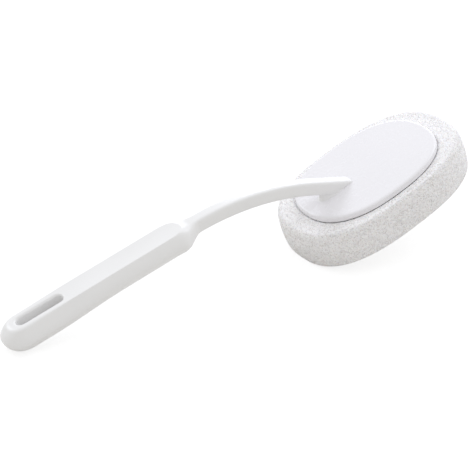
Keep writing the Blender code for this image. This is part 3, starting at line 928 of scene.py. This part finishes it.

# %% [markdown]
# ## Open-celled foam
#
# Foam is matt and slightly warm, and a little light travels under its skin. Light gets lost in the
# open cells, so they look darker than the walls between them. The mesh carries how deep each vertex
# sank, and that value darkens the colour as painted shade, on top of the real shade of the sunken
# mesh. Pores a millimetre wide, too small for the mesh, come from a Voronoi pattern: some get
# painted shade in their hollows, some are shallow, and a bump sinks them all. Grain between them
# and wide faint clouds are random tone that keeps the pattern from looking regular.

# %% Colours and scales of the foam
FOAM_PALE = (1.0, 0.99, 0.995)
# The darker foam colour stands for painted shade in cells and pores as well as random grain.
FOAM_SHADE_AND_GRAIN = (0.65, 0.613, 0.603)
SUNK_RANGE = (0.10, 0.95)
# Painted shade: the sunken cell middles are darkened in colour, on top of the mesh's real shade.
SUNK_PAINTED_SHADE = 0.06
PORE_SCALE = 1000.0
PORE_EDGE = (0.03, 0.20)
PORE_CHANCE = (0.35, 0.75)
# Painted shade: the pores' hollows are darkened in colour.
PORE_PAINTED_SHADE = 0.70
PORE_DEPTH = 0.0005
GRAIN_SCALE = 430.0
GRAIN_RANGE = (0.45, 0.70)
GRAIN_DARKNESS = 0.15
CLOUD_SCALE = 60.0
CLOUD_RANGE = (0.35, 0.75)
CLOUD_DARKNESS = 0.04
print("pores in mm:", 1000 / PORE_SCALE)

# %% Finish for foam
foam_finish, tree, shader = new_finish(
    "white_foam_cells", roughness=0.92, specular_ior_level=0.25, subsurface_weight=0.10,
    subsurface_radius=(0.0030, 0.0024, 0.0019), subsurface_scale=1.0)
place = place_in(tree)
cells = {"Vector": place, "Scale": PORE_SCALE}
walls = node(tree, "ShaderNodeTexVoronoi", {"feature": "DISTANCE_TO_EDGE"}, cells)
chance = node(tree, "ShaderNodeTexVoronoi", {}, cells, "Color")
depth = node(tree, "ShaderNodeAttribute", {"attribute_name": "sunk"}, {}, "Fac")
grain = cloudy(place, GRAIN_SCALE, detail=4.0, Distortion=1.2)
cloud = cloudy(place, CLOUD_SCALE, detail=4.0)
pit = between(walls, *PORE_EDGE)
# Painted shade in the pores, with a random share per cell.
painted_pore_shade = pit * between(chance, *PORE_CHANCE) * PORE_PAINTED_SHADE
# Painted shade from the sunken cells and the pores, plus random grain and clouds.
shade_and_grain = (between(depth, *SUNK_RANGE) * SUNK_PAINTED_SHADE + painted_pore_shade
        + between(grain, *GRAIN_RANGE) * GRAIN_DARKNESS
        + between(cloud, *CLOUD_RANGE) * CLOUD_DARKNESS)
feed(shader, "Base Color", two_colours(shade_and_grain, FOAM_PALE, FOAM_SHADE_AND_GRAIN))
raise_skin(shader, 1.0 - pit - grain, strength=0.3, distance=PORE_DEPTH)
dress(pad, foam_finish)

# %% [markdown]
# ## Hooks, loops and screws
#
# The hooks are milky nylon and the loops a dull white felt. The screws under the plate are
# zinc-plated steel, which is nearly even in colour and slightly clouded in gloss. None of them
# shows until the pad is off. So one layer of noise is enough for each, as long as it has the right
# scale: threads finer than a millimetre, and clouds a few millimetres wide.

# %% Finish for the hooks
NYLON_DULL = (0.72, 0.72, 0.71)
NYLON_PALE = (0.80, 0.80, 0.79)
MILK_SCALE = 400.0
hook_finish, tree, shader = new_finish("hook_nylon", roughness=0.45)
milk = between(cloudy(place_in(tree), MILK_SCALE, detail=2.0), *NOISE_MIDDLE)
feed(shader, "Base Color", two_colours(milk, NYLON_DULL, NYLON_PALE))
dress(hook_sheet, hook_finish)

# %% Finish for the loops
FELT_DULL = (0.66, 0.66, 0.65)
FELT_PALE = (0.86, 0.86, 0.85)
THREAD_SCALE = 1800.0
THREAD_RANGE = (0.35, 0.65)
THREAD_DEPTH = 0.0003
loop_finish, tree, shader = new_finish("loop_felt", roughness=0.95, sheen_weight=0.3)
threads = cloudy(place_in(tree), THREAD_SCALE, detail=4.0, Distortion=1.5)
feed(shader, "Base Color", two_colours(between(threads, *THREAD_RANGE), FELT_DULL, FELT_PALE))
raise_skin(shader, threads, strength=0.8, distance=THREAD_DEPTH)
dress(loop_sheet, loop_finish)

# %% Finish for the screws
ZINC_DULL = (0.56, 0.57, 0.58)
ZINC_BRIGHT = (0.68, 0.68, 0.69)
ZINC_ROUGHNESS = 0.26
BLOOM_SCALE = 500.0
BLOOM_ROUGHNESS = 0.18
screw_finish, tree, shader = new_finish("zinc_plate", metallic=1.0)
bloom = between(cloudy(place_in(tree), BLOOM_SCALE, detail=4.0), *NOISE_MIDDLE)
feed(shader, "Base Color", two_colours(bloom, ZINC_DULL, ZINC_BRIGHT))
feed(shader, "Roughness", bloom * BLOOM_ROUGHNESS + ZINC_ROUGHNESS)
for name in ("foot_screw_rear", "foot_screw_front"):
    dress(frame["nodes"][name], screw_finish)

# %% [markdown]
# ## Table, light and camera
#
# The brush lies on a white table in a bright room. The light is cool daylight from three sides: a
# window behind the grip, a broad soft light above the head's nose, and a low one past the head,
# which brightens the land toward the shoulder. Pale light comes from all round. Seen by the camera,
# the table is white but for the soft shadow; the brush still gets the slightly warm light that a
# real pale table throws back up.

# %% Table
TABLE_BOUNCE = (0.725, 0.71, 0.675, 1.0)
TABLE_SHADOW = (0.28, 0.28, 0.28, 1.0)
TABLE_GLOW = 0.80
TABLE_REACH = 4.0
WHITE = (1.0, 1.0, 1.0, 1.0)


def seen(tree):
    """1 for what the camera sees, also in gloss and through glass, and 0 for light on objects."""
    rays = node(tree, "ShaderNodeLightPath").socket.node.outputs
    found = Term(tree, rays["Is Camera Ray"])
    for label in ("Is Glossy Ray", "Is Transmission Ray"):
        found = found.maths("MAXIMUM", found, Term(tree, rays[label]))
    return found


table_form = bmesh.new()
bmesh.ops.create_grid(table_form, x_segments=1, y_segments=1, size=TABLE_REACH)
table = add_piece("table_top", table_form)
table_finish = bpy.data.materials.new("white_table")
table_finish.use_nodes = True
tree = table_finish.node_tree
bounce = node(tree, "ShaderNodeBsdfDiffuse", {}, {"Color": TABLE_BOUNCE})
shadow = node(tree, "ShaderNodeBsdfDiffuse", {}, {"Color": TABLE_SHADOW})
glow = node(tree, "ShaderNodeEmission", {}, {"Color": WHITE, "Strength": TABLE_GLOW})
white = node(tree, "ShaderNodeAddShader", {}, {0: shadow, 1: glow})
mixed = node(tree, "ShaderNodeMixShader", {}, {0: seen(tree), 1: bounce, 2: white})
feed(tree.nodes["Material Output"], "Surface", mixed)
dress(table, table_finish)

# %% Lamps
DAYLIGHT = (0.875, 0.915, 1.0)
LIT_SPOT = Vector((0.03, 0.0, 0.04))


def add_lamp(name, place, size, watts):
    data = bpy.data.lights.new(name, "AREA")
    data.shape = "DISK"
    data.size = size
    data.energy = watts
    data.color = DAYLIGHT
    lamp = bpy.data.objects.new(name, data)
    lamp.location = place
    lamp.rotation_euler = (LIT_SPOT - Vector(place)).to_track_quat("-Z", "Y").to_euler()
    bpy.context.scene.collection.objects.link(lamp)


add_lamp("window", (-0.60, 1.07, 0.90), size=0.55, watts=4.1)
add_lamp("side", (1.03, 0.0, 1.15), size=0.9, watts=6.0)
add_lamp("back_wall", (0.91, 1.05, 0.65), size=0.9, watts=4.1)

# %% Room
ROOM = 0.765
world = bpy.data.worlds.new("room")
bpy.context.scene.world = world
world.use_nodes = True
background = world.node_tree.nodes["Background"]
background.inputs["Color"].default_value = WHITE
feed(background, "Strength", seen(world.node_tree) * (1.0 - ROOM) + ROOM)
print("the room's own light:", ROOM)

# %% Camera
CAMERA_PLACE = (-0.66821, -0.98098, 0.65958)
CAMERA_TURN = (62.273, -0.5286, -33.7316)
CAMERA_ANGLE = math.radians(15)
camera_data = bpy.data.cameras.new("camera")
camera_data.angle = CAMERA_ANGLE
camera = bpy.data.objects.new("camera", camera_data)
camera.location = CAMERA_PLACE
camera.rotation_euler = [math.radians(turn) for turn in CAMERA_TURN]
bpy.context.scene.collection.objects.link(camera)
bpy.context.scene.camera = camera
bpy.context.scene.view_settings.view_transform = "Standard"
print("camera at:", CAMERA_PLACE)
